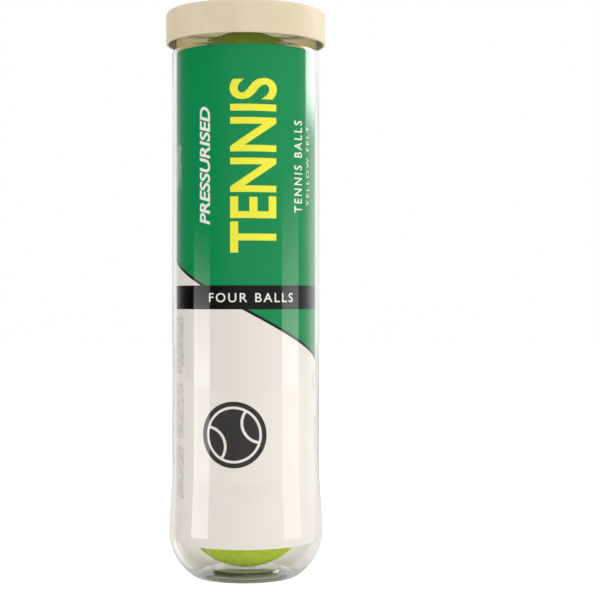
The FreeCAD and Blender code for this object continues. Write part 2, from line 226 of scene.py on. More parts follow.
def noiseAt(tree, place, scale, detail=2.0, roughness=0.5):
    feeds = {"Vector": place, "Scale": scale, "Detail": detail, "Roughness": roughness}
    return addNode(tree, "ShaderNodeTexNoise", feeds).outputs[0]


def bumpFrom(tree, height, strength, distance):
    feeds = {"Height": height, "Strength": strength, "Distance": distance}
    return addNode(tree, "ShaderNodeBump", feeds).outputs[0]


def distanceTo(tree, across, up, centre):
    x = calc(tree, "SUBTRACT", across, centre[0])
    y = calc(tree, "SUBTRACT", up, centre[1])
    return calc(tree, "SQRT", calc(tree, "ADD", calc(tree, "MULTIPLY", x, x), calc(tree, "MULTIPLY", y, y)))


def newMaterial(name, **constants):
    material = bpy.data.materials.new(name)
    material.use_nodes = True
    tree = material.node_tree
    tree.nodes.clear()
    output = tree.nodes.new("ShaderNodeOutputMaterial")
    shader = tree.nodes.new("ShaderNodeBsdfPrincipled")
    tree.links.new(shader.outputs[0], output.inputs[0])
    for key, value in constants.items():
        shader.inputs[key.replace("_", " ")].default_value = value
    return material, tree, shader.inputs


def newGroup(name, inputs, outputs):
    tree = bpy.data.node_groups.new(name, "ShaderNodeTree")
    kinds = {"float": "NodeSocketFloat", "vector": "NodeSocketVector", "colour": "NodeSocketColor"}
    for label, (kind, value) in inputs.items():
        socket = tree.interface.new_socket(label, in_out="INPUT", socket_type=kinds[kind])
        if value is not None:
            socket.default_value = value
    for label, kind in outputs.items():
        tree.interface.new_socket(label, in_out="OUTPUT", socket_type=kinds[kind])
    start, end = tree.nodes.new("NodeGroupInput"), tree.nodes.new("NodeGroupOutput")
    return tree, start.outputs, end.inputs


def placeGroup(tree, group, **feeds):
    made = addNode(tree, "ShaderNodeGroup", node_tree=group)
    for key, value in feeds.items():
        feed(tree, made.inputs[key], value)
    return made.outputs


# shared effects

def makeFineGrain():  # an even moulded or printed grain
    inputs = {"place": ("vector", None), "scale": ("float", 900.0)}
    tree, given, made = newGroup("fineGrain", inputs, {"mask": "float"})
    coarse = noiseAt(tree, given["place"], given["scale"], 3.0, 0.6)
    fine = noiseAt(tree, given["place"], calc(tree, "MULTIPLY", given["scale"], 4.3), 2.0)
    both = calc(tree, "ADD", calc(tree, "MULTIPLY", coarse, 0.65), calc(tree, "MULTIPLY", fine, 0.35))
    feed(tree, made["mask"], both)
    return tree


def makeHandlingMarks():  # faint hairline scuffs in two directions
    inputs = {"place": ("vector", None), "length": ("float", 40.0), "amount": ("float", 0.5)}
    tree, given, made = newGroup("handlingMarks", inputs, {"mask": "float"})
    lines = []
    for turn, scale in (((0.5, 0.3, 0.2), 1.0), ((-0.4, 0.7, -0.9), 1.7)):
        along = stretched(tree, given["place"], (1.0, 26.0, 26.0), turn)
        grain = noiseAt(tree, along, calc(tree, "MULTIPLY", given["length"], scale), 1.0)
        lines.append(remap(tree, grain, 0.0, 1.0, 0.64, 0.72))
    where = remap(tree, noiseAt(tree, given["place"], 30.0), 0.0, 1.0, 0.45, 0.65)
    both = calc(tree, "MULTIPLY", calc(tree, "MAXIMUM", *lines), where)
    feed(tree, made["mask"], calc(tree, "MULTIPLY", both, given["amount"]))
    return tree


def makeRolledGrain():  # the fine parallel lines of rolled sheet metal
    inputs = {"place": ("vector", None), "lines": ("float", 60.0)}
    tree, given, made = newGroup("rolledGrain", inputs, {"mask": "float"})
    along = stretched(tree, given["place"], (1.0, 60.0, 8.0))
    coarse = noiseAt(tree, along, given["lines"], 3.0, 0.7)
    fine = noiseAt(tree, along, calc(tree, "MULTIPLY", given["lines"], 3.7), 2.0, 0.7)
    feed(tree, made["mask"], calc(tree, "MULTIPLY", calc(tree, "ADD", coarse, fine), 0.5))
    return tree


fineGrain, handlingMarks, rolledGrain = makeFineGrain(), makeHandlingMarks(), makeRolledGrain()


# camera, surroundings and lights

studio = {
    "cameraPlace": (0.027, -0.740, 0.1345),
    "lens": 90,
    "shift": (-0.001, 0.002),
    "fill": 1.04,           # even light on matt surfaces
    "fillRight": 0.10,      # how much more of it comes from the right
    "floorSize": 8.0,
    "floorDrop": 0.2,       # millimetres below the can's foot
    "floorPaint": (0.90, 0.90, 0.90, 1),
    "floorGlow": 0.7,       # seen by the camera alone
    "ceiling": (38.0, 60.0),        # climb in degrees where the bright ceiling starts and is full
    "ground": (-30.0, -60.0, 0.2),      # the same below, and its brightness
    "windowSoft": 1.0,      # degrees that a window's sides take to fade in
    # a painted shadow on the floor, shown only to rays seen through the clear can: centre, inner and outer
    # reach in metres, dark and light
    "paintedShadowUnderCan": {"centre": (0.0, -0.016), "reach": (0.020, 0.032),
                 "dark": (0.075, 0.072, 0.045, 1), "light": (0.82, 0.78, 0.73, 1)},
    "key": {"degrees": 78, "distance": 1.6, "height": 1.0, "size": 0.95, "strength": 2.3},
    # what a gloss surface mirrors round the room: degrees from the camera to the right, and brightness
    "surround": [(-180, 1.0), (-136, 0.85), (-126, 0.4), (-117, 0.12), (-104, 0.02), (-94, 0.0), (-57, 0.02),
                 (-25, 0.11), (0, 0.15), (30, 0.17), (60, 0.18), (93, 0.18), (105, 0.34), (114, 0.6),
                 (125, 1.05), (136, 1.1), (180, 1.0)],
    # lit windows it mirrors: left, right, low, low soft, high, high soft, brightness
    "windows": [(-86, -55, -8.2, 0.3, 0.6, 4.5, 3.3), (60, 92, -9.3, 0.3, 2.8, 4.8, 1.7),
                (109, 138, 8.0, 1.2, 40.0, 2.0, 3.4)],
}


def makeSurround(tree, direction):
    x, y, z = addNode(tree, "ShaderNodeSeparateXYZ", {0: direction}).outputs
    degrees = calc(tree, "MULTIPLY", calc(tree, "ARCTAN2", x, calc(tree, "MULTIPLY", y, -1.0)), perRadian)
    climb = calc(tree, "MULTIPLY", calc(tree, "ARCSINE", z), perRadian)
    ramp = addNode(tree, "ShaderNodeValToRGB", {0: remap(tree, degrees, 0.0, 1.0, -180.0, 180.0)})
    stops = ramp.color_ramp.elements
    while len(stops) < len(studio["surround"]):
        stops.new(0.5)
    for stop, (where, level) in zip(stops, studio["surround"]):
        stop.position = (where + 180) / 360
        stop.color = (level / 2,) * 3 + (1,)
    room = calc(tree, "MULTIPLY", ramp.outputs[0], 2.0)
    fade = studio["windowSoft"]
    for left, right, low, lowSoft, high, highSoft, level in studio["windows"]:
        sides = calc(tree, "MULTIPLY", remap(tree, degrees, 0.0, 1.0, left - fade, left + fade, True),
                     remap(tree, degrees, 1.0, 0.0, right - fade, right + fade, True))
        ends = calc(tree, "MULTIPLY", remap(tree, climb, 0.0, 1.0, low - lowSoft, low + lowSoft, True),
                    remap(tree, climb, 1.0, 0.0, high - highSoft, high + highSoft, True))
        window = calc(tree, "MULTIPLY", calc(tree, "MULTIPLY", sides, ends), level)
        room = calc(tree, "ADD", room, window)
    ceiling = remap(tree, climb, 0.0, 1.0, *studio["ceiling"], True)
    room = calc(tree, "MAXIMUM", room, ceiling)
    start, full, groundLevel = studio["ground"]
    below = remap(tree, climb, 0.0, groundLevel, start, full, True)
    return calc(tree, "MAXIMUM", room, below)


def makeStudio():
    bpy.ops.object.camera_add(location=studio["cameraPlace"], rotation=(math.radians(90), 0, 0))
    camera = bpy.context.object
    camera.data.lens = studio["lens"]
    camera.data.shift_x, camera.data.shift_y = studio["shift"]
    camera.data.sensor_width = 36
    camera.data.clip_start, camera.data.clip_end = 0.01, 50
    bpy.context.scene.camera = camera
    bpy.context.scene.view_settings.view_transform = "Standard"

    world = bpy.data.worlds.new("studioWorld")
    bpy.context.scene.world = world
    world.use_nodes = True
    tree = world.node_tree
    tree.nodes.clear()
    direction = addNode(tree, "ShaderNodeTexCoord").outputs["Generated"]
    glossy = makeSurround(tree, direction)
    x = addNode(tree, "ShaderNodeSeparateXYZ", {0: direction}).outputs[0]
    fill = calc(tree, "ADD", studio["fill"], calc(tree, "MULTIPLY", x, studio["fillRight"]))
    light = addNode(tree, "ShaderNodeLightPath").outputs
    level = remap(tree, light["Is Camera Ray"], fill, 1.0)
    shown = remap(tree, light["Is Glossy Ray"], level, glossy)
    background = addNode(tree, "ShaderNodeBackground", {0: (1, 1, 1, 1), 1: shown})
    tree.links.new(background.outputs[0], addNode(tree, "ShaderNodeOutputWorld").inputs[0])

    key = studio["key"]
    angle = math.radians(key["degrees"])
    place = Vector((key["distance"] * math.sin(angle), -key["distance"] * math.cos(angle), key["height"]))
    turn = (Vector((0, 0, 0.14)) - place).to_track_quat("-Z", "Y").to_euler()
    bpy.ops.object.light_add(type="AREA", location=place, rotation=turn)
    lamp = bpy.context.object
    lamp.name = "rightKey"
    lamp.data.shape = "SQUARE"
    lamp.data.size = key["size"]
    lamp.data.energy = key["strength"] * math.pi * key["size"] ** 2
    lamp.visible_camera = lamp.visible_transmission = lamp.visible_glossy = False

    deselectAll()
    bpy.ops.mesh.primitive_plane_add(size=studio["floorSize"], location=(0, 0, -studio["floorDrop"] * mm))
    floor = bpy.context.object
    floor.name = "floor"
    material, tree, shader = newMaterial("paleFloor", Base_Color=studio["floorPaint"], Roughness=0.9)
    shader["Emission Color"].default_value = (1, 1, 1, 1)
    light = addNode(tree, "ShaderNodeLightPath").outputs
    glow = calc(tree, "MULTIPLY", light["Is Camera Ray"], studio["floorGlow"])
    feed(tree, shader["Emission Strength"], glow)
    x, y, _ = addNode(tree, "ShaderNodeSeparateXYZ", {0: objectPlace(tree)}).outputs
    # painted shadow: to rays through the clear can the floor turns dark round a spot under the can, and
    # dimmer and tinted further out
    shadow = studio["paintedShadowUnderCan"]
    reach = distanceTo(tree, calc(tree, "MULTIPLY", x, 0.5), y, shadow["centre"])
    shade = remap(tree, reach, 0.0, 1.0, *shadow["reach"], True)
    under = mixColour(tree, shade, shadow["dark"], shadow["light"])
    seen = mixColour(tree, light["Is Transmission Ray"], studio["floorPaint"], under)
    feed(tree, shader["Base Color"], seen)
    feed(tree, shader["Roughness"], remap(tree, noiseAt(tree, objectPlace(tree), 60.0), 0.85, 0.95))
    floor.data.materials.append(material)
    floor.visible_glossy = False
    floor.visible_shadow = False


makeStudio()
print("camera, lights and floor are set")


# the clear can

canSizes = {
    "wall": 0.6,
    "clearness": (0.958, 0.944, 0.936, 1),
    "indexOfRefraction": 1.57,
    "waviness": 0.12,
    "shadowTint": (0.95, 0.95, 0.945, 1),       # what it lets through to shadow and matt light
}


def makeClearPlastic():
    material, tree, shader = newMaterial(
        "clearPlastic", Base_Color=canSizes["clearness"], IOR=canSizes["indexOfRefraction"],
        Transmission_Weight=1.0)
    place = objectPlace(tree)
    marks = placeGroup(tree, handlingMarks, place=place, length=45.0, amount=0.5)["mask"]
    cloud = noiseAt(tree, place, 25.0)
    rough = calc(tree, "ADD", remap(tree, cloud, 0.012, 0.03), calc(tree, "MULTIPLY", marks, 0.08))
    feed(tree, shader["Roughness"], rough)
    slow = noiseAt(tree, stretched(tree, place, (1.0, 1.0, 0.35)), 28.0, 1.0)
    feed(tree, shader["Normal"], bumpFrom(tree, slow, canSizes["waviness"], 2 * mm))
    output = tree.nodes["Material Output"]
    principled = tree.nodes["Principled BSDF"]
    clear = addNode(tree, "ShaderNodeBsdfTransparent", {0: canSizes["shadowTint"]})
    light = addNode(tree, "ShaderNodeLightPath").outputs
    passes = calc(tree, "MAXIMUM", light["Is Shadow Ray"], light["Is Diffuse Ray"])
    both = addNode(tree, "ShaderNodeMixShader", {0: passes, 1: principled.outputs[0], 2: clear.outputs[0]})
    tree.links.new(both.outputs[0], output.inputs[0])
    return material


def makeCan():
    wall = canSizes["wall"]
    base = [(0, 2.7), (1.6, 2.7), (2.1, 3.0), (16.0, 3.0), (16.5, 2.85), (17.2, 1.6), (17.9, 1.35),
            (21.2, 1.2), (22.0, 0.95), (23.5, 0.1), (23.9, 0.0), (25.75, 0.0)]
    corner = arcPoints((11.395, 22.4), 26.605, -57.35, 0, 20)[1:]
    taper = [(37.93, 24.0), (37.8, 26.2), (36.5, 46.6), (36.37, 48.8), (36.3, 50.4)]
    shoulder = easePoints((36.3, 254.9), (34.9, 259.6), 8)
    flange = arcPoints((35.3, 271.8), 0.4, 180, 90, 4)
    outside = base + corner + taper + shoulder + flange
    rim = [(35.7, 272.2), (35.7, 271.2), (36.3, 271.2), (36.3, 272.4), (36.1, 272.8)]
    inside = offsetPoints(outside, wall)
    inside[0] = (0, inside[0][1])
    piece = turnOnLathe("clear_can", outside + rim + inside[::-1], 192, closed=False, smoothDegrees=40)
    return handOver(piece, "can", makeClearPlastic(), ["can_body"])


can = makeCan()
print("clear can turned:", len(can.data.polygons), "faces")


# the printed film inside the can

filmSizes = {
    "radius": 34.05,
    "thickness": 0.25,
    "low": 17.4,
    "high": 255.8,
    "overlap": 7.5,         # degrees each side of the back
    "step": 2.0,            # degrees
    "bands": 8,             # rows of faces up the film
    "green": paint(0, 145, 82),
    "greenCloud": paint(6, 155, 92),
    "white": paint(244, 238, 230),
    "whiteCloud": paint(250, 244, 236),
    "black": paint(6, 7, 8),
    "greyPrint": paint(150, 148, 146),
    "palePrint": paint(225, 235, 225),
    "diagonalMiddle": 131.05,
    "diagonalRise": 37.0,
    "band": (130.65, 142.0),
    "line": 0.72,           # half the width of the black line along the diagonal
    "badge": (-4.6, 71.5),      # its centre, across and up
    "badgeRadius": 15.7,
    "badgeRing": 2.3,
    "badgeGap": 3.5,        # from the outside to the disc
    "badgeSeam": {"off": (13.2, 5.6), "radii": (8.6, 9.9)},
    # blocks of fine print: left, right, low, high
    "greyBlocks": [(-48.0, -34.8, 99.2, 127.0), (-48.0, -34.8, 68.0, 95.3), (-48.0, -34.8, 39.2, 64.8),
                   (42.5, 47.5, 92.0, 99.0), (46.0, 51.0, 60.0, 78.0),
                   (70.0, 92.0, 42.0, 98.0), (-92.0, -70.0, 60.0, 118.0)],
    "paleBlocks": [(-46.0, -37.5, 189.5, 210.0), (-78.0, -60.0, 160.0, 215.0), (66.0, 88.0, 150.0, 220.0)],
    "tuck": {"start": 150, "turn": 22, "depth": 0.33},      # degrees, degrees, millimetres
}


def makeEdgeMasks():
    tree, given, made = newGroup(
        "betweenValues",
        {"value": ("float", 0.0), "low": ("float", 0.0), "high": ("float", 1.0), "soft": ("float", 0.08)},
        {"mask": "float"})
    above = calc(tree, "DIVIDE", calc(tree, "SUBTRACT", given["value"], given["low"]), given["soft"])
    below = calc(tree, "DIVIDE", calc(tree, "SUBTRACT", given["high"], given["value"]), given["soft"])
    inside = calc(tree, "MINIMUM", above, below)
    feed(tree, made["mask"], remap(tree, inside, 0.0, 1.0, -0.5, 0.5))
    return tree


betweenValues = makeEdgeMasks()


def between(tree, value, low, high, soft=0.08):
    return placeGroup(tree, betweenValues, value=value, low=low, high=high, soft=soft)["mask"]


def smallPrint(tree, across, up, left, right, low, high, pitch=1.25):
    # rows of broken grey strokes that stand for the fine print
    row = calc(tree, "DIVIDE", calc(tree, "SUBTRACT", across, left), pitch)
    line = between(tree, calc(tree, "FRACT", row), 0.22, 0.72, 0.1)
    whole = calc(tree, "FLOOR", row)
    spot = addNode(tree, "ShaderNodeCombineXYZ", {0: calc(tree, "MULTIPLY", whole, 7.3), 1: up})
    letters = noiseAt(tree, spot.outputs[0], 2.2, 1.0)
    words = noiseAt(tree, spot.outputs[0], 0.35, 0.0)
    strokes = remap(tree, letters, 0.0, 1.0, 0.40, 0.46)
    broken = calc(tree, "MULTIPLY", strokes, remap(tree, words, 0.0, 1.0, 0.36, 0.39))
    box = calc(tree, "MULTIPLY", between(tree, across, left, right), between(tree, up, low, high))
    return chain(tree, "MULTIPLY", [line, broken, box])


def makePrintedFilm():
    material, tree, shader = newMaterial("printedFilm", Roughness=0.5, Specular_IOR_Level=0.05)
    place = objectPlace(tree)
    x, y, z = addNode(tree, "ShaderNodeSeparateXYZ", {0: place}).outputs
    angle = calc(tree, "ARCTAN2", x, calc(tree, "MULTIPLY", y, -1.0))
    across = calc(tree, "MULTIPLY", angle, filmSizes["radius"])
    up = calc(tree, "MULTIPLY", z, 1000.0)
    wave = calc(tree, "SINE", calc(tree, "MULTIPLY", angle, 0.5))
    swing = calc(tree, "MULTIPLY", wave, filmSizes["diagonalRise"])
    diagonal = calc(tree, "SUBTRACT", calc(tree, "ADD", up, swing), filmSizes["diagonalMiddle"])
    cloud = noiseAt(tree, place, 35.0, 3.0)
    grain = placeGroup(tree, fineGrain, place=place, scale=2200.0)["mask"]
    green = mixColour(tree, remap(tree, cloud, 0.0, 0.16), filmSizes["green"], filmSizes["greenCloud"])
    white = mixColour(tree, remap(tree, cloud, 0.0, 0.3), filmSizes["white"], filmSizes["whiteCloud"])
    colour = mixColour(tree, remap(tree, diagonal, 0.0, 1.0, -0.05, 0.05), white, green)
    black = between(tree, diagonal, -filmSizes["line"], filmSizes["line"])
    black = calc(tree, "MAXIMUM", black, between(tree, up, *filmSizes["band"]))
    centre, size, badgeSeam = filmSizes["badge"], filmSizes["badgeRadius"], filmSizes["badgeSeam"]
    reach = distanceTo(tree, across, up, centre)
    ring = between(tree, reach, size - filmSizes["badgeRing"], size)
    disc = between(tree, reach, -5.0, size - filmSizes["badgeGap"])
    for side in (-1, 1):
        off = (centre[0] + side * badgeSeam["off"][0], centre[1] + side * badgeSeam["off"][1])
        seam = between(tree, distanceTo(tree, across, up, off), *badgeSeam["radii"])
        disc = calc(tree, "MULTIPLY", disc, calc(tree, "SUBTRACT", 1.0, seam))
    black = calc(tree, "MAXIMUM", black, calc(tree, "MAXIMUM", ring, disc))
    colour = mixColour(tree, black, colour, filmSizes["black"])
    grey = chain(tree, "MAXIMUM", [smallPrint(tree, across, up, *block) for block in filmSizes["greyBlocks"]])
    colour = mixColour(tree, calc(tree, "MULTIPLY", grey, 0.75), colour, filmSizes["greyPrint"])
    pale = chain(tree, "MAXIMUM", [smallPrint(tree, across, up, *block) for block in filmSizes["paleBlocks"]])
    colour = mixColour(tree, calc(tree, "MULTIPLY", pale, 0.8), colour, filmSizes["palePrint"])
    colour = mixColour(tree, remap(tree, grain, 0.0, 0.10), colour, (0.5, 0.5, 0.5, 1), "OVERLAY")
    feed(tree, shader["Base Color"], colour)
    feed(tree, shader["Roughness"], remap(tree, grain, 0.38, 0.52))
    soft = noiseAt(tree, stretched(tree, place, (1.0, 1.0, 0.4)), 22.0, 1.0)
    height = calc(tree, "ADD", soft, calc(tree, "MULTIPLY", grain, 0.03))
    feed(tree, shader["Normal"], bumpFrom(tree, height, 0.10, 1.5 * mm))
    return material


def makeFilmBack():
    material, tree, shader = newMaterial("filmBack", Roughness=0.5, Specular_IOR_Level=0.35)
    place = objectPlace(tree)
    grain = placeGroup(tree, fineGrain, place=place, scale=1200.0)["mask"]
    feed(tree, shader["Base Color"], mixColour(tree, grain, paint(228, 226, 218), paint(240, 238, 231)))
    feed(tree, shader["Normal"], bumpFrom(tree, grain, 0.1, 0.05 * mm))
    return material


def filmRadius(degrees):  # the end that tucks under runs in at the back
    tuck = filmSizes["tuck"]
    share = min(max((degrees - tuck["start"]) / tuck["turn"], 0), 1)
    return filmSizes["radius"] - tuck["depth"] * share * share * (3 - 2 * share)


def makeFilm():
    deselectAll()
    bpy.ops.mesh.primitive_plane_add(size=mm, location=(0, 0, 0))
    piece = bpy.context.object
    piece.name = "label_film"
    bpy.ops.object.mode_set(mode="EDIT")
    bpy.ops.mesh.select_mode(type="VERT")
    bpy.ops.mesh.merge(type="CENTER")
    reach = 180 + filmSizes["overlap"]
    steps = int(2 * reach / filmSizes["step"])
    points = []
    for step in range(steps + 1):
        degrees = -reach + 2 * reach * step / steps
        turn = math.radians(degrees)
        radius = filmRadius(degrees) * mm
        points.append(Vector((radius * math.sin(turn), -radius * math.cos(turn), 0)))
    bpy.ops.transform.translate(value=points[0] + Vector((0, 0, filmSizes["low"] * mm)))
    for start, end in zip(points, points[1:]):
        bpy.ops.mesh.extrude_region_move(TRANSFORM_OT_translate={"value": end - start})
    bpy.ops.mesh.select_all(action="SELECT")
    rise = (filmSizes["high"] - filmSizes["low"]) * mm / filmSizes["bands"]
    for _ in range(filmSizes["bands"]):
        bpy.ops.mesh.extrude_region_move(TRANSFORM_OT_translate={"value": (0, 0, rise)})
    bpy.ops.mesh.select_all(action="SELECT")
    bpy.ops.object.mode_set(mode="OBJECT")
    settle(piece)
    face = piece.data.polygons[len(piece.data.polygons) // 2]
    if face.normal.dot(Vector((face.center.x, face.center.y, 0))) < 0:
        pickOnly(piece)
        bpy.ops.object.mode_set(mode="EDIT")
        bpy.ops.mesh.select_all(action="SELECT")
        bpy.ops.mesh.flip_normals()
        bpy.ops.object.mode_set(mode="OBJECT")
    piece.data.materials.append(makePrintedFilm())
    piece.data.materials.append(makeFilmBack())
    applyModifier(piece, "SOLIDIFY", thickness=filmSizes["thickness"] * mm, offset=-1,
                  material_offset=1, material_offset_rim=1)
    smoothByAngle(piece, 40)
    return handOver(piece, "can", None, ["label_insert"])


film = makeFilm()
print("label film rolled:", len(film.data.polygons), "faces")


# words printed on the film, raised by the thickness of the ink

inkSizes = {
    "yellow": (paint(255, 254, 76), paint(254, 250, 64)),
    "white": (paint(255, 254, 250), paint(248, 246, 240)),
    "lift": 0.008,
    "thickness": 0.022,
    "cut": 1.2,             # a long letter is cut this often, to follow the curve
}

# words: reading direction, middle across and up, length along the reading, letter height,
# weight, slant, spacing
yellowWords = [("TENNIS", "up", 4.9, 198.6, 82.4, 22.7, 0.018, 0.0, 1.02)]
whiteWords = [
    ("PRESSURISED", "up", -19.3, 198.7, 56.0, 6.0, 0.026, 0.22, 1.0),
    ("TENNIS BALLS", "up", 29.1, 198.8, 44.0, 5.6, 0.014, 0.0, 1.35),
    ("YELLOW FELT", "up", 36.9, 199.6, 38.4, 2.9, 0.0, 0.0, 1.3),
    ("FOUR BALLS", "across", 4.25, 136.2, 42.3, 4.4, 0.008, 0.0, 1.25),
]


def makeInk(name, colour, paler):
    material, tree, shader = newMaterial(name, Roughness=0.5, Specular_IOR_Level=0.08)
    place = objectPlace(tree)
    grain = placeGroup(tree, fineGrain, place=place, scale=2600.0)["mask"]
    feed(tree, shader["Base Color"], mixColour(tree, remap(tree, grain, 0.0, 1.0, 0.3, 0.7), colour, paler))
    feed(tree, shader["Roughness"], remap(tree, grain, 0.32, 0.48))
    feed(tree, shader["Normal"], bumpFrom(tree, grain, 0.08, 0.03 * mm))
    return material


def printWord(words, reading, across, up, length, height, weight, slant, spacing):
    deselectAll()
    bpy.ops.object.text_add(location=(0, 0, 0))
    text = bpy.context.object
    text.data.body = words
    text.data.offset = weight
    text.data.shear = slant
    text.data.space_character = spacing
    text.data.extrude = 0.5
    text.data.resolution_u = 6
    bpy.ops.object.convert(target="MESH")
    piece = bpy.context.object
    xs = [v.co.x for v in piece.data.vertices]
    ys = [v.co.y for v in piece.data.vertices]
    wide, high = max(xs) - min(xs), max(ys) - min(ys)
    piece.scale = (length * mm / wide, height * mm / high, inkSizes["thickness"] * mm)
    piece.location = (-(min(xs) + wide / 2) * piece.scale.x, -(min(ys) + high / 2) * piece.scale.y, 0)
    settle(piece)
    if reading == "up":
        piece.rotation_euler = (0, 0, math.radians(90))
    piece.location = (across * mm, up * mm, 0)
    settle(piece)
    bpy.ops.object.mode_set(mode="EDIT")
    bpy.ops.mesh.select_all(action="SELECT")
    bpy.ops.mesh.remove_doubles(threshold=1e-6)
    bpy.ops.mesh.normals_make_consistent(inside=False)
    reach = (length if reading == "across" else height) / 2 + 1
    cuts = int(2 * reach / inkSizes["cut"])
    for cut in range(cuts + 1):
        bpy.ops.mesh.select_all(action="SELECT")
        where = (across - reach + cut * inkSizes["cut"]) * mm
        bpy.ops.mesh.bisect(plane_co=(where, 0, 0), plane_no=(1, 0, 0))
    bpy.ops.object.mode_set(mode="OBJECT")
    radius = filmSizes["radius"] * mm
    for vertex in piece.data.vertices:
        turn = vertex.co.x / radius
        out = radius + (inkSizes["lift"] + inkSizes["thickness"] / 2) * mm + vertex.co.z
        vertex.co = (out * math.sin(turn), -out * math.cos(turn), vertex.co.y)
    return piece


def makePrints():
    yellow = joinPieces([printWord(*word) for word in yellowWords], "yellow_print")
    handOver(yellow, "can", makeInk("yellowInk", *inkSizes["yellow"]))
    white = joinPieces([printWord(*word) for word in whiteWords], "white_print")
    handOver(white, "can", makeInk("whiteInk", *inkSizes["white"]))


makePrints()
print("film printed")


# the balls

ballSizes = {
    "radius": 32.9,
    "heights": {"ball_4": 36.6, "ball_3": 102.6, "ball_2": 168.6, "ball_1": 234.6},
    "yaw": 47,
    "pitch": 29,
    "stripWidth": 2.5,
    "stripTop": 32.45,
    "stripThickness": 0.7,
    "napTop": 32.62,        # the felt's mean surface, with the nap standing up to the ball's radius
    "napDepth": 0.22,
    "grooveFloor": 31.9,
    "felt": paint(204, 232, 22),
    "feltDeep": paint(146, 184, 6),
    "feltBloom": paint(216, 238, 56),
    "cement": paint(222, 224, 214),
    "cementDeep": paint(206, 210, 196),
}


def seamPlace(turn):
    x = 0.75 * math.cos(turn) + 0.25 * math.cos(3 * turn)
    y = 0.75 * math.sin(turn) - 0.25 * math.sin(3 * turn)
    z = 0.866 * math.sin(2 * turn)
    return Vector((x, y, z)).normalized()


def makeFeltMaterial():
    material, tree, shader = newMaterial("ballFelt", Roughness=0.95, Sheen_Weight=0.12, Sheen_Roughness=0.4,
                                         Specular_IOR_Level=0.05)
    shader["Sheen Tint"].default_value = (0.95, 1.0, 0.6, 1)
    place = objectPlace(tree)
    tufts = noiseAt(tree, place, 420.0, 3.0, 0.65)
    fibres = noiseAt(tree, stretched(tree, place, (1.0, 2.6, 1.4), (0.4, 0.9, 0.2)), 1500.0, 2.0, 0.6)
    other = noiseAt(tree, stretched(tree, place, (2.4, 1.0, 1.2), (1.2, 0.1, 0.8)), 1700.0, 2.0, 0.6)
    hairs = calc(tree, "MULTIPLY", calc(tree, "ADD", fibres, other), 0.3)
    nap = calc(tree, "ADD", calc(tree, "MULTIPLY", tufts, 0.4), hairs)
    colour = mixColour(tree, remap(tree, nap, 0.0, 1.0, 0.36, 0.58), ballSizes["feltDeep"], ballSizes["felt"])
    bloom = remap(tree, noiseAt(tree, place, 45.0), 0.0, 0.35, 0.4, 0.7)
    colour = mixColour(tree, bloom, colour, ballSizes["feltBloom"])
    feed(tree, shader["Base Color"], colour)
    feed(tree, shader["Normal"], bumpFrom(tree, nap, 0.75, 0.35 * mm))
    return material


def makeCement():
    material, tree, shader = newMaterial("seamCement", Roughness=0.6, Specular_IOR_Level=0.35)
    place = objectPlace(tree)
    grain = placeGroup(tree, fineGrain, place=place, scale=700.0)["mask"]
    amount = remap(tree, grain, 0.0, 1.0, 0.3, 0.7)
    feed(tree, shader["Base Color"], mixColour(tree, amount, ballSizes["cementDeep"], ballSizes["cement"]))
    feed(tree, shader["Roughness"], remap(tree, grain, 0.5, 0.72))
    feed(tree, shader["Normal"], bumpFrom(tree, grain, 0.4, 0.15 * mm))
    return material


def makeFeltBall():
    samples = 720
    tree = KDTree(samples)
    for index in range(samples):
        tree.insert(seamPlace(2 * math.pi * index / samples) * ballSizes["radius"], index)
    tree.balance()
    deselectAll()
    bpy.ops.mesh.primitive_ico_sphere_add(subdivisions=7, radius=ballSizes["radius"] * mm, location=(0, 0, 0))
    piece = bpy.context.object
    bpy.ops.object.mode_set(mode="EDIT")
    bpy.ops.mesh.select_all(action="DESELECT")
    bpy.ops.object.mode_set(mode="OBJECT")
    for face in piece.data.polygons:
        face.select = tree.find(face.center / mm)[2] < 2.6
    bpy.ops.object.mode_set(mode="EDIT")
    bpy.ops.mesh.select_mode(type="FACE")
    bpy.ops.mesh.subdivide(number_cuts=1)
    bpy.ops.object.mode_set(mode="OBJECT")
    half = ballSizes["stripWidth"] / 2
    for vertex in piece.data.vertices:
        way = vertex.co.normalized()
        away = tree.find(way * ballSizes["radius"])[2]
        nap = noise.fractal(way * 34, 0.6, 2.1, 3) * ballSizes["napDepth"]
        share = min(max((away - half + 0.35) / 0.9, 0), 1)
        share = 1 - (1 - share) ** 2.2          # a rolled edge beside the strip
        top = ballSizes["napTop"] + nap * share
        radius = ballSizes["grooveFloor"] + (top - ballSizes["grooveFloor"]) * share
        vertex.co = way * min(radius, ballSizes["radius"] + 0.2) * mm
    smoothByAngle(piece, 80)
    return piece


def makeStrip():
    curve = bpy.data.curves.new("seamPath", "CURVE")
    curve.dimensions = "3D"
    spline = curve.splines.new("POLY")
    count = 360
    spline.points.add(count - 1)
    centre = ballSizes["stripTop"] - ballSizes["stripThickness"] / 2
    for index, point in enumerate(spline.points):
        place = seamPlace(2 * math.pi * index / count) * centre * mm
        point.co = (*place, 1)
    spline.use_cyclic_u = True
    curve.bevel_depth = ballSizes["stripWidth"] / 2 * mm
    curve.bevel_resolution = 4
    path = bpy.data.objects.new("seamPath", curve)
    bpy.context.collection.objects.link(path)
    pickOnly(path)
    bpy.ops.object.convert(target="MESH")
    piece = bpy.context.object
    flat = ballSizes["stripThickness"] / ballSizes["stripWidth"]
    for vertex in piece.data.vertices:      # the round cord is pressed to a ribbon
        way = vertex.co.normalized()
        radius = vertex.co.length / mm
        pressed = centre + (radius - centre) * flat
        pressed += 0.03 * noise.noise(way * 90)
        vertex.co = way * pressed * mm
    smoothByAngle(piece, 60)
    return piece


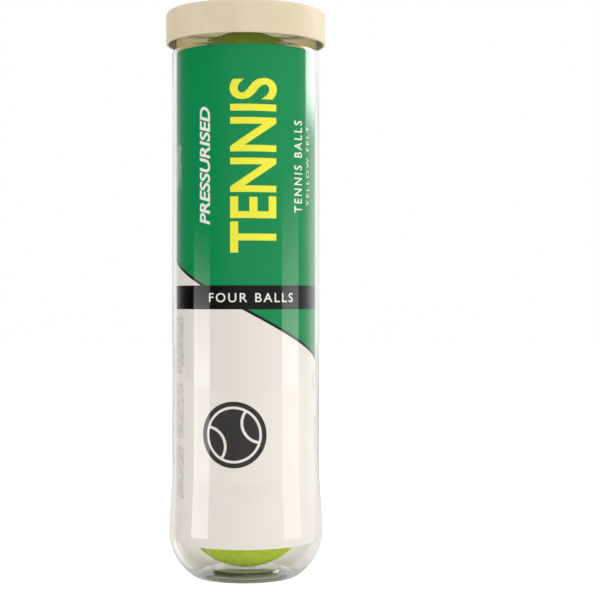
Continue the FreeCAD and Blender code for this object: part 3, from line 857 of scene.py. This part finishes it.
def makeBalls():
    felt, cement = makeFeltMaterial(), makeCement()
    firstNap, firstStrip = makeFeltBall(), makeStrip()
    for body, height in ballSizes["heights"].items():
        count = int(body[-1])
        pitch, yaw = math.radians(ballSizes["pitch"] * count), math.radians(ballSizes["yaw"] * count)
        turn = Euler((0, pitch, yaw), "XYZ")
        for first, name, slot, material, nodes in (
                (firstNap, "felt", "ball_felt", felt, ["felt_a", "felt_b"]),
                (firstStrip, "strip", "seam_cement", cement, ["seam"])):
            piece = copyPiece(first, f"{body}_{name}_cover")
            piece.rotation_euler = turn
            piece.location = (0, 0, height * mm)
            settle(piece)
            handOver(piece, body, material, [f"{body}_{node}" for node in nodes])
    for first in (firstNap, firstStrip):
        bpy.data.objects.remove(first)


makeBalls()
print("balls covered")


# the overcap

capSizes = {
    "plastic": paint(220, 206, 178),
    "plasticDeep": paint(212, 197, 167),
    "glow": paint(222, 204, 136),       # a painted glow standing in for daylight coming through the skirt, seen through the neck
    "paintedGlowStrength": 0.5,
    "radius": 39.2,
}


def makeCapPlastic():
    material, tree, shader = newMaterial("capPlastic", Roughness=0.45, Subsurface_Weight=0.06,
                                         Specular_IOR_Level=0.4)
    shader["Subsurface Radius"].default_value = (1.6 * mm, 1.2 * mm, 0.8 * mm)
    shader["Subsurface Scale"].default_value = 1.0
    place = objectPlace(tree)
    cloud = noiseAt(tree, place, 40.0, 3.0)
    grain = placeGroup(tree, fineGrain, place=place, scale=1500.0)["mask"]
    marks = placeGroup(tree, handlingMarks, place=place, length=60.0, amount=0.6)["mask"]
    amount = remap(tree, cloud, 0.0, 1.0, 0.35, 0.65)
    feed(tree, shader["Base Color"], mixColour(tree, amount, capSizes["plasticDeep"], capSizes["plastic"]))
    rough = calc(tree, "ADD", remap(tree, grain, 0.42, 0.58), calc(tree, "MULTIPLY", marks, -0.12))
    feed(tree, shader["Roughness"], rough)
    height = calc(tree, "ADD", calc(tree, "MULTIPLY", grain, 0.6), calc(tree, "MULTIPLY", cloud, 2.0))
    feed(tree, shader["Normal"], bumpFrom(tree, height, 0.12, 0.25 * mm))
    # painted glow: the cap emits light only for rays that come to it through the clear neck
    through = addNode(tree, "ShaderNodeLightPath").outputs["Is Transmission Ray"]
    shader["Emission Strength"].default_value = capSizes["paintedGlowStrength"]
    feed(tree, shader["Emission Color"], mixColour(tree, through, (0, 0, 0, 1), capSizes["glow"]))
    return material


def makeOvercap():
    outer = capSizes["radius"]
    top = [(0, 275.55), (1.3, 275.55), (1.8, 275.4), (2.6, 275.35), (3.0, 275.4), (29.0, 275.4),
           (29.3, 275.5), (30.7, 275.5), (31.0, 275.4), (32.6, 275.4)]
    top += arcPoints((32.6, 275.8), 0.4, -90, 0, 4)[1:]
    top += arcPoints((33.4, 275.8), 0.4, 180, 90, 4)[1:]
    rim = arcPoints((37.2, 274.2), 2.0, 90, 0, 10)
    skirt = [(outer, 262.2), (outer - 0.02, 261.0)] + arcPoints((outer - 0.6, 261.0), 0.6, 0, -90, 5)[1:]
    inner = [(38.1, 260.4), (37.8, 260.9), (37.8, 268.5), (37.45, 269.1), (37.1, 269.5), (37.45, 269.9),
             (37.8, 270.5), (37.8, 273.6)]
    inner += arcPoints((37.2, 273.6), 0.6, 0, 90, 4)[1:]
    seat = [(36.275, 274.2), (36.275, 273.9), (36.0, 273.7), (34.9, 273.7), (34.675, 273.9),
            (34.675, 274.4), (0, 274.4)]
    piece = turnOnLathe("cap_shell", top + rim + skirt + inner + seat, 192, closed=False)
    return handOver(piece, "cap", makeCapPlastic(), ["overcap"])


makeOvercap()
print("overcap turned")


# the metal end and its ring pull, and finishes for the pieces that keep their CAD shape

def makeMetal(name, colour, roughness, lines):
    material, tree, shader = newMaterial(name, Metallic=1.0)
    place = objectPlace(tree)
    grain = placeGroup(tree, rolledGrain, place=place, lines=lines)["mask"]
    marks = placeGroup(tree, handlingMarks, place=place, length=70.0, amount=0.7)["mask"]
    darker = tuple(0.82 * value for value in colour[:3]) + (1,)
    amount = remap(tree, grain, 0.0, 1.0, 0.35, 0.65)
    feed(tree, shader["Base Color"], mixColour(tree, amount, darker, colour))
    even = remap(tree, grain, roughness - 0.06, roughness + 0.08, 0.3, 0.7)
    feed(tree, shader["Roughness"], calc(tree, "ADD", even, calc(tree, "MULTIPLY", marks, 0.12)))
    feed(tree, shader["Normal"], bumpFrom(tree, grain, 0.12, 0.05 * mm))
    return material


def makeGrainy(name, first, second, roughness, scale, depth):
    material, tree, shader = newMaterial(name, Specular_IOR_Level=0.3)
    grain = placeGroup(tree, fineGrain, place=objectPlace(tree), scale=scale)["mask"]
    feed(tree, shader["Base Color"], mixColour(tree, remap(tree, grain, 0.0, 1.0, 0.3, 0.7), first, second))
    feed(tree, shader["Roughness"], remap(tree, grain, roughness - 0.08, roughness + 0.08))
    feed(tree, shader["Normal"], bumpFrom(tree, grain, 0.4, depth * mm))
    return material


endMetal = makeMetal("endMetal", (0.86, 0.86, 0.87, 1), 0.24, 55.0)
tabMetal = makeMetal("tabMetal", (0.90, 0.90, 0.90, 1), 0.20, 75.0)
compound = makeGrainy("sealingCompound", paint(196, 184, 158), paint(210, 198, 172), 0.7, 600.0, 0.2)
rubber = makeGrainy("coreRubber", paint(48, 44, 40), paint(62, 57, 52), 0.8, 400.0, 0.3)
endSizes = {
    "sheet": 0.3,
    "rivet": -26.0,         # how far in front of the axis
    "well": (-11.5, 9.0, 0.55),     # finger well: place, reach, depth
}


def shiftPiece(piece, along, up):
    piece.location = (0, along * mm, up * mm)
    settle(piece)
    return piece


def makeEndRing():
    middle = [(33.4, 268.8), (33.4, 267.9)] + arcPoints((33.75, 267.5), 0.35, 180, 360, 12)
    middle += [(34.1, 270.0)] + arcPoints((34.6, 272.85), 0.5, 180, 90, 8)
    middle += [(35.3, 273.35), (35.8, 273.35)] + arcPoints((36.35, 272.85), 0.5, 90, 0, 8)
    middle += [(36.82, 272.2), (36.84, 271.7)] + arcPoints((36.075, 271.325), 0.775, 0, -180, 16)
    middle += [(35.3, 271.95)]
    half = endSizes["sheet"] / 2
    outline = offsetPoints(middle, half) + offsetPoints(middle, -half)[::-1]
    piece = turnOnLathe("end_seam", outline, 192, smoothDegrees=50)
    return handOver(piece, "can", endMetal, ["end_ring"])


def makeTearPanel():
    sheet = endSizes["sheet"]
    top = [(radius, 268.4) for radius in range(0, 19)]
    top += [(18.9, 268.4), (19.3, 268.47), (19.8, 268.62), (20.3, 268.68), (20.8, 268.62), (21.3, 268.47),
            (21.7, 268.4), (23.5, 268.4), (25.5, 268.4), (27.5, 268.4), (28.5, 268.4), (29.0, 268.45),
            (29.35, 268.62), (29.7, 268.76), (30.1, 268.8)]
    under = offsetPoints(top, -sheet)
    under[0] = (0, top[0][1] - sheet)
    edge = [(31.9, 268.8), (32.15, 268.78), (32.35, 268.66), (32.55, 268.78), (32.8, 268.8), (33.05, 268.8),
            (33.15, 268.7), (33.15, 268.58), (33.05, 268.5), (31.5, 268.5)]
    panel = turnOnLathe("tear_cover", top + edge + under[::-1], 192, closed=False, smoothDegrees=50)
    along, reach, depth = endSizes["well"]
    for vertex in panel.data.vertices:
        inside = math.hypot(vertex.co.x, vertex.co.y - along * mm) / (reach * mm)
        if inside < 1:
            vertex.co.z -= depth * mm * (1 - inside * inside) ** 2
    rivet = [(0, 268.2), (3.7, 268.2), (3.7, 268.4), (3.2, 268.5), (2.8, 268.75), (2.5, 268.93),
             (2.2, 268.95), (1.7, 268.95), (1.7, 269.38), (2.7, 269.4), (2.95, 269.5), (3.0, 269.75),
             (2.85, 270.05), (2.5, 270.25), (2.0, 270.3), (1.3, 270.3), (0.9, 270.2), (0.5, 270.05),
             (0, 270.0)]
    stem = shiftPiece(turnOnLathe("rivet", rivet, 64, closed=False), endSizes["rivet"], 0)
    piece = joinPieces([panel, stem], "tear_cover")
    return handOver(piece, "end_panel", endMetal, ["tear_panel"])


def makeRivetIsland():
    outline = [(1.8, 269.0), (3.55, 269.0), (3.7, 269.1), (3.7, 269.22), (3.5, 269.35), (1.95, 269.35),
               (1.8, 269.25)]
    piece = shiftPiece(turnOnLathe("tab_tongue", outline, 64), endSizes["rivet"], 0)
    return handOver(piece, "end_panel", tabMetal, ["rivet_island"])


def loopCurve(name, loops, flat):
    curve = bpy.data.curves.new(name, "CURVE")
    curve.dimensions = "2D" if flat else "3D"
    for loop in loops:
        spline = curve.splines.new("POLY")
        spline.points.add(len(loop) - 1)
        for point, (x, y) in zip(spline.points, loop):
            point.co = (x * mm, y * mm, 0, 1)
        spline.use_cyclic_u = True
    if flat:
        curve.fill_mode = "BOTH"
        curve.extrude = flat * mm / 2
    shape = bpy.data.objects.new(name, curve)
    bpy.context.collection.objects.link(shape)
    return shape


def meshOf(shape):
    pickOnly(shape)
    bpy.ops.object.convert(target="MESH")
    piece = bpy.context.object
    bpy.ops.object.mode_set(mode="EDIT")
    bpy.ops.mesh.select_all(action="SELECT")
    bpy.ops.mesh.remove_doubles(threshold=1e-6)
    bpy.ops.mesh.normals_make_consistent(inside=False)
    bpy.ops.object.mode_set(mode="OBJECT")
    return piece


tabSizes = {
    "ring": (-11.5, 12.0, 8.6),     # centre, outside, hole
    "nose": (-23.7, 8.5),           # centre, outside
    "window": 4.0,
    "curl": 0.55,                   # half the height of the rolled rims
    "windowCurl": 0.3,
    "web": 0.4,
    "webHeight": 0.32,              # the web's middle, above the tab's underside
    "underside": 269.0,
}


def makePullTab():
    ring, outer, hole = tabSizes["ring"]
    nose, front = tabSizes["nose"]
    curl, small, webHeight = tabSizes["curl"], tabSizes["windowCurl"], tabSizes["webHeight"]
    lean = math.degrees(math.acos((outer - front) / (ring - nose)))
    edge = arcPoints((0, ring), outer - curl, lean - 90, 270 - lean, 48)
    edge += arcPoints((0, nose), front - curl, 270 - lean, 270 + lean, 32)
    rim = loopCurve("tabRim", [edge], 0)
    rim.data.bevel_depth = curl * mm
    rim.data.bevel_resolution = 5
    eye = arcPoints((0, ring), hole + curl, 0, 352.5, 47)
    eyeRim = loopCurve("tabEye", [eye], 0)
    eyeRim.data.bevel_depth = curl * mm
    eyeRim.data.bevel_resolution = 5
    window = arcPoints((0, endSizes["rivet"]), tabSizes["window"] + small, 0, 348.75, 31)
    windowRim = loopCurve("tabWindow", [window], 0)
    windowRim.data.bevel_depth = small * mm
    windowRim.data.bevel_resolution = 4
    web = loopCurve("tabWeb", [edge, eye, window], tabSizes["web"])
    parts = [shiftPiece(meshOf(part), 0, tabSizes["underside"] + height) for part, height in
             ((rim, curl), (eyeRim, curl), (windowRim, webHeight), (web, webHeight))]
    for part in parts:
        smoothByAngle(part, 40)
    piece = joinPieces(parts, "ring_pull")
    return handOver(piece, "tab", tabMetal, ["pull_tab"])


for makePiece in (makeEndRing, makeTearPanel, makeRivetIsland, makePullTab):
    made = makePiece()
    print(made.name, "made:", len(made.data.polygons), "faces")

finishes = {"seam_compound": compound}
for node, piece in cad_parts.items():
    material = finishes.get(node) or (rubber if "core" in node else None)
    if material:
        piece.data.materials.clear()
        piece.data.materials.append(material)
print("kept pieces finished")
